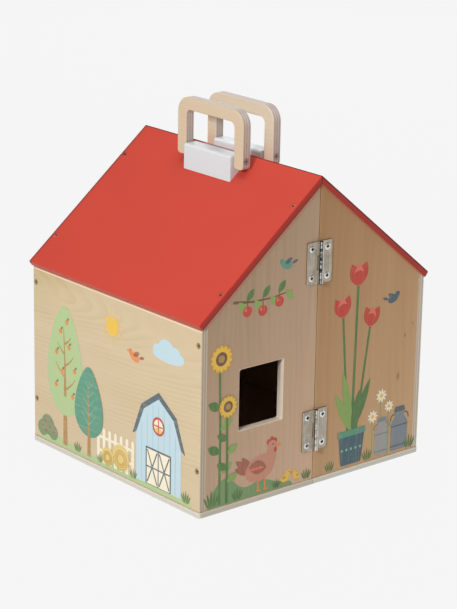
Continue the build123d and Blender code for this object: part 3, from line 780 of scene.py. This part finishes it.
def drawBarn(sheet, x, y):
    half, wall, knee, top, eave = barn["width"] / 2, barn["wall"], barn["knee"], barn["top"], barn["eave"]
    shoulder = half * barn["shoulder"]
    inner = [(half, wall), (shoulder, knee), (0, top), (-shoulder, knee), (-half, wall)]
    cutOut(sheet, "sky", [(x + u, y + v) for u, v in [(-half, 0), (half, 0)] + inner])
    for step in range(1, barn["boards"]):
        across = -half + step * barn["width"] / barn["boards"]
        level = wall + (top - wall) * min(1.0, 1.28 * (1 - abs(across) / half)) * 0.8
        stroke(sheet, "haze", (x + across, y + 1), 90, level, 0.8)
    outer = [(-half - eave, wall - 3), (-shoulder - eave * 0.7, knee + eave * 0.6), (0, top + eave * 1.1),
             (shoulder + eave * 0.7, knee + eave * 0.6), (half + eave, wall - 3)]
    cutOut(sheet, "slate", [(x + u, y + v) for u, v in outer + inner])
    wide, high = barn["doors"]
    edge = wide / 2 + barn["frame"]
    evenCutOut(sheet, "slate", (x, y), (1, 1), ((edge, 0), (edge, high + barn["frame"])))
    for side in (-1, 1):
        near, far = sorted((side * 0.7, side * wide / 2))
        cutOut(sheet, "cream", [(x + near, y + 0.6), (x + far, y + 0.6), (x + far, y + high), (x + near, y + high)])
        lean = math.degrees(math.atan2(high - 3, far - near - 1.6))
        reach = math.hypot(high - 3, far - near - 1.6)
        stroke(sheet, "slate", (x + near + 0.8, y + 2), lean, reach, 1.5)
        stroke(sheet, "slate", (x + far - 0.8, y + 2), 180 - lean, reach, 1.5)
        stroke(sheet, "slate", (x + near, y + high / 2), 0, far - near, 1.3)
    level = y + barn["hatch"]
    for ink, width in (("berry", 17), ("cream", 12.5)):
        disc(sheet, ink, (x, level), (width, width), corners=32)
    disc(sheet, "straw", (x, level - 3.4), (10, 5.4))
    stroke(sheet, "berry", (x - 6, level), 0, 12, 1.3)
    stroke(sheet, "berry", (x, level - 6), 90, 12, 1.3)


def bale(sheet, x, y, radius):  # round bale seen from its end
    disc(sheet, "straw", (x, y + radius), (2 * radius, 2 * radius), corners=36)
    stroke(sheet, "honey", (x - radius * 0.86, y + radius), 270, radius * 12.4, 1.1, 1260, 0.75, 0.99)
    for turn in (20, 145, 262, 310):
        stroke(sheet, "straw", around(x, y + radius, radius * 0.95, turn), turn + 24, radius * 0.3, 0.9, 0, 0.4)


pickets = {"width": 4, "tip": 2.4, "spacing": 9, "rails": (0.34, 0.72), "rail": 0.075}


def fence(sheet, x, y, length, height):
    for level in pickets["rails"]:
        stroke(sheet, "cream", (x, y + height * level), 0, length, height * pickets["rail"])
    width, shoulder = pickets["width"], y + height - pickets["tip"]
    count = int(length / pickets["spacing"])
    for step in range(count + 1):
        left = x + step * (length - width) / count
        cutOut(sheet, "cream", [(left, y), (left + width, y), (left + width, shoulder),
                                (left + width / 2, y + height), (left, shoulder)])


def sun(sheet, x, y, radius):
    for step in range(12):
        turn, ray = step * 30 + 8, radius * (0.5 if step % 2 else 0.34)
        stroke(sheet, "corn", around(x, y, radius * 1.28, turn), turn, ray, 1.5, 0, 0.5)
    disc(sheet, "corn", (x, y), (2 * radius, 2 * radius), corners=36)


def cloud(sheet, x, y, width, ink):
    at = scaled(x, y, width)
    for across, up, size in ((-0.30, 0.02, 0.34), (-0.06, 0.12, 0.46), (0.20, 0.06, 0.38), (0.38, 0.0, 0.24)):
        disc(sheet, ink, at(across, up), (size * width, size * width * 0.8))
    disc(sheet, ink, at(0, -0.05), (width * 0.94, width * 0.22))


def songbird(sheet, x, y, length, side, body, wing):
    at = scaled(x, y, length, side)
    petal(sheet, wing, at(-0.32, 0.02), (length * 0.42, length * 0.16), 90 + side * 74)
    disc(sheet, body, at(0, 0), (length * 0.72, length * 0.42), side * 16)
    disc(sheet, body, at(0.30, 0.20), (length * 0.30,) * 2)
    petal(sheet, "amber", at(0.42, 0.21), (length * 0.17, length * 0.09), 90 - side * 90)
    petal(sheet, wing, at(0.10, 0.05), (length * 0.52, length * 0.24), 90 + side * 62)
    disc(sheet, "soot", at(0.34, 0.23), (length * 0.055,) * 2, corners=12)


def sunflower(sheet, x, y, height, radius):
    stroke(sheet, "fern", (x, y), 90, height, radius * 0.22, 3, 0.8)
    for level, side in ((0.22, 1), (0.36, -1), (0.52, 1), (0.66, -1)):
        petal(sheet, "grass" if side > 0 else "fern", (x, y + height * level), (radius * 1.15, radius * 0.62),
              90 - side * 62)
    for ring, (ink, reach) in enumerate((("honey", 1.0), ("corn", 0.92))):
        for step in range(14):
            turn = step * 360 / 14 + ring * 360 / 28
            petal(sheet, ink, (x, y + height), (radius * reach, radius * 0.42), turn)
    disc(sheet, "umber", (x, y + height), (radius * 0.92,) * 2, corners=30)
    disc(sheet, "bark", (x, y + height), (radius * 0.5,) * 2, corners=24)


def hen(sheet, x, y, size, side):
    at = scaled(x, y, size, side)
    for across in (-0.05, 0.12):
        stroke(sheet, "amber", at(across, 0), 90, size * 0.26, size * 0.035)
        stroke(sheet, "amber", at(across - 0.03, 0.4 / size), 90 - side * 90, size * 0.10, size * 0.03)
    for turn, reach in ((20, 0.44), (38, 0.50), (56, 0.42)):
        petal(sheet, "rust", at(-0.22, 0.42), (size * reach, size * 0.17), 90 + side * (90 - turn))
    disc(sheet, "clay", at(0, 0.46), (size * 0.74, size * 0.52), side * 14, 0, 36)
    disc(sheet, "clay", at(0.27, 0.68), (size * 0.26, size * 0.50), -side * 12, -0.2)
    for across, up in ((0.20, 0.93), (0.28, 0.97), (0.36, 0.93)):
        disc(sheet, "berry", at(across, up), (size * 0.10, size * 0.12))
    disc(sheet, "clay", at(0.29, 0.84), (size * 0.23, size * 0.22))
    petal(sheet, "amber", at(0.38, 0.84), (size * 0.13, size * 0.08), 90 - side * 96)
    disc(sheet, "berry", at(0.37, 0.75), (size * 0.07, size * 0.11))
    petal(sheet, "rust", at(0.16, 0.44), (size * 0.46, size * 0.28), 90 + side * 78)
    for step in range(3):
        petal(sheet, "rose", at(0.10 - 0.10 * step, 0.45), (size * 0.18, size * 0.05), 90 + side * 80)
    disc(sheet, "soot", at(0.31, 0.87), (size * 0.035,) * 2, corners=12)


def chick(sheet, x, y, size, side):
    at = scaled(x, y, size, side)
    for across in (-0.08, 0.12):
        stroke(sheet, "amber", at(across, 0), 90, size * 0.25, size * 0.06)
    disc(sheet, "corn", at(0, 0.45), (size * 0.78, size * 0.58), side * 10)
    disc(sheet, "corn", at(0.28, 0.80), (size * 0.44,) * 2)
    petal(sheet, "honey", at(0.12, 0.47), (size * 0.42, size * 0.24), 90 + side * 84)
    petal(sheet, "amber", at(0.46, 0.79), (size * 0.22, size * 0.14), 90 - side * 90)
    disc(sheet, "soot", at(0.33, 0.85), (size * 0.07,) * 2, corners=12)


def appleTwig(sheet, x, y, length, side):
    def level(along):  # the twig sags and rises again to its tip
        return y - length * (0.15 * along - 0.19 * along * along)

    stroke(sheet, "umber", (x, y), 90 - side * 98, length, 2.6, side * 22, 0.35)
    for step in range(7):
        along = (step + 0.7) / 7.4
        root = (x + side * length * along * 0.99, level(along))
        up = 1 if step % 2 else -1
        petal(sheet, "fern" if up > 0 else "grass", root, (13, 6.4), 90 - side * (90 - up * 52))
    for along, drop in ((0.24, 9), (0.50, 11), (0.78, 8)):
        across, low = x + side * length * along, level(along) - drop
        stroke(sheet, "umber", (across, level(along)), 270, drop - 3, 0.9)
        disc(sheet, "berry", (across, low), (10, 9.4), 0, 0.06)
        disc(sheet, "rose", (across - 2, low + 1.6), (2.6, 3.2), 20)


def tulip(sheet, x, y, height, lean, size):
    stroke(sheet, "fern", (x, y), 90 - lean, height, size * 0.13, 0, 0.85)
    across, top = around(x, y, height, 90 - lean)
    for turn, ink in ((24, "berry"), (-24, "berry"), (0, "rose")):
        reach = size * (0.96 if turn else 0.86)
        petal(sheet, ink, (across, top - size * 0.1), (reach, size * 0.5), 90 - lean + turn)
    disc(sheet, "berry", (across, top + size * 0.22), (size * 0.6, size * 0.54), -lean, 0.1)


def leafFan(sheet, x, y, leaves):
    for turn, reach in leaves:
        petal(sheet, "grass" if turn > 90 else "fern", (x, y), (reach, 9), turn)


def plantPot(sheet, x, y, width, height):
    evenCutOut(sheet, "lake", (x, y), (width, height), ((0.36, 0), (0.46, 0.84)), 1.2)
    evenCutOut(sheet, "teal", (x, y), (width, height), ((0.5, 0.82), (0.5, 1)), 0.9)
    for step in range(5):
        disc(sheet, "mint", (x + (step - 2) * width * 0.165, y + height * 0.44), (width * 0.08,) * 2, corners=16)


def daisy(sheet, x, y, height, size):
    stroke(sheet, "grass", (x, y), 90, height, 1.1, 5, 0.8)
    for step in range(9):
        petal(sheet, "cream", (x, y + height), (size * 0.5, size * 0.19), step * 40)
    disc(sheet, "corn", (x, y + height), (size * 0.28,) * 2, corners=18)


def churn(sheet, x, y, width, height, ink, bandInk):
    evenCutOut(sheet, ink, (x, y), (width, height), ((0.5, 0), (0.5, 0.62), (0.26, 0.78), (0.26, 0.9)), 1.4)
    evenCutOut(sheet, bandInk, (x, y), (width, height), ((0.34, 0.88), (0.26, 1)), 0.8)
    for level in (0.10, 0.56):
        stroke(sheet, bandInk, (x - width / 2, y + height * level), 0, width, 1.4)
    for side in (-1, 1):
        stroke(sheet, bandInk, (x + side * width * 0.28, y + height * 0.84), 90 - side * 90, width * 0.44, 1.2,
               -side * 110)


bigPoplar = {"ink": "lime", "crown": (52, 104), "trunk": 52, "girth": 6.5, "fruitInk": "amber",
             "fruit": ((-0.26, -0.24), (0.22, -0.30), (-0.08, -0.10), (0.28, -0.06), (-0.24, 0.06), (0.12, 0.14),
                       (-0.12, 0.26), (0.06, 0.36))}
smallFir = {"ink": "teal", "crown": (40, 66), "trunk": 24, "girth": 4.5, "trunkInk": "bark", "veinInk": "mint"}
orchard = {"ink": "lime", "crown": (44, 78), "trunk": 42, "girth": 5.5, "fruitInk": "berry",
           "fruit": ((-0.26, -0.22), (0.22, -0.26), (-0.06, -0.06), (0.26, 0.02), (-0.20, 0.14), (0.08, 0.26))}

# left wall, seen from outside: rear corner at 0, front corner at 240
layPrints("leftWall", (
    ("Meadow", 0, (meadow, "lime", 9, 231, ((26, 26, 5), (104, 22, 4.5), (186, 30, 4)))),
    ("Fence", 1, (fence, 96, 4, 54, 34)),
    ("Poplar", 2, (poplar, 48, 4, bigPoplar)),
    ("TealCrown", 14, (featherCrown, 84, 4, smallFir)),
    ("Bush", 2, (bush, 21, 4, 30, "sage", "berry")),
    ("Barn", 3, (drawBarn, 184, 5)),
    ("Bales", 12, (bale, 131, 5, 12), (bale, 112, 4, 8.5)),
    ("Sun", 0, (sun, 118, 136, 9)),
    ("Cloud", 0, (cloud, 196, 130, 44, "sky")),
    ("Songbird", 0, (songbird, 150, 116, 19, -1, "amber", "rust")),
    ("Tufts", 4, (tufts, 3, ((67, 11), (100, 9), (149, 10), (222, 12)))),
))
# left half of the front gable: seam at 0, side wall at -124, window from -87 to -38
layPrints("leftFront", (
    ("Meadow", 0, (meadow, "moss", -121, -24, ((19, 17, 20), (60, 18, 9)))),
    ("Sunflowers", 1, (sunflower, -108, 2, 132, 13.5), (sunflower, -100, 2, 88, 11)),
    ("Hen", 1, (hen, -62, 4, 46, 1)),
    ("Chicks", 1, (chick, -33, 3, 12.5, 1), (chick, -19, 3, 10.5, -1)),
    ("Tufts", 3, (tufts, 1.5, ((-117, 16), (-88, 12), (-43, 9), (-8, 11)))),
    ("AppleTwig", 0, (appleTwig, -96, 181, 66, 1)),
    ("Songbird", 0, (songbird, -37, 204, 18, -1, "teal", "lake")),
))
# right half of the front gable: seam at 0, side wall at 124
layPrints("rightFront", (
    ("Tulips", 0, (tulip, 41, 34, 112, -5, 22), (tulip, 46, 34, 138, 1, 24), (tulip, 51, 34, 98, 8, 21),
     (leafFan, 46, 33, ((118, 46), (66, 52), (102, 62), (78, 40)))),
    ("Pot", 8, (plantPot, 46, 3, 34, 33)),
    ("Daisies", 0, (daisy, 72, 2, 40, 13), (daisy, 82, 2, 58, 14), (daisy, 92, 2, 46, 12)),
    ("Churns", 3, (churn, 84, 3, 18, 36, "ash", "steel"), (churn, 106, 3, 21, 42, "steel", "slate")),
    ("Tufts", 3, (tufts, 1.5, ((20, 11), (66, 12), (119, 14)))),
    ("Songbird", 0, (songbird, 92, 150, 18, 1, "lake", "slate")),
))
# right wall, seen from outside: front corner at 0, rear corner at 240
layPrints("rightWall", (
    ("Meadow", 0, (meadow, "lime", 9, 231, ((30, 24, 4.5), (108, 24, 5), (190, 28, 4)))),
    ("Fence", 1, (fence, 14, 4, 212, 32)),
    ("Orchard1", 4, (poplar, 46, 4, orchard)),
    ("Orchard2", 4, (poplar, 120, 4, dict(orchard, ink="sage"))),
    ("Orchard3", 4, (poplar, 194, 4, orchard)),
    ("Bushes", 4, (bush, 84, 4, 28, "teal", "corn"), (bush, 158, 4, 26, "sage", "berry")),
    ("SunAndCloud", 0, (sun, 84, 136, 9), (cloud, 158, 134, 40, "sky")),
))
# rear gable, seen from behind: seam at 0, right half to the left
layPrints("rightRear", (
    ("Sunflowers", 0, (sunflower, -100, 2, 124, 13.5), (sunflower, -82, 2, 92, 12), (sunflower, -110, 2, 74, 10)),
    ("Hen", 0, (hen, -44, 3, 44, 1), (chick, -16, 3, 11, 1)),
    ("AppleTwig", 0, (appleTwig, -90, 176, 64, 1)),
))
layPrints("leftRear", (
    ("Tulips", 0, (tulip, 55, 34, 88, -7, 21), (tulip, 60, 34, 116, 1, 23), (tulip, 65, 34, 80, 9, 20),
     (leafFan, 60, 33, ((116, 42), (66, 46), (100, 54), (80, 36)))),
    ("Pot", 8, (plantPot, 60, 3, 34, 33)),
    ("Churn", 0, (churn, 98, 3, 21, 42, "steel", "slate")),
    ("Songbird", 0, (songbird, 40, 190, 18, -1, "teal", "lake")),
))
print("prints laid on the boards")
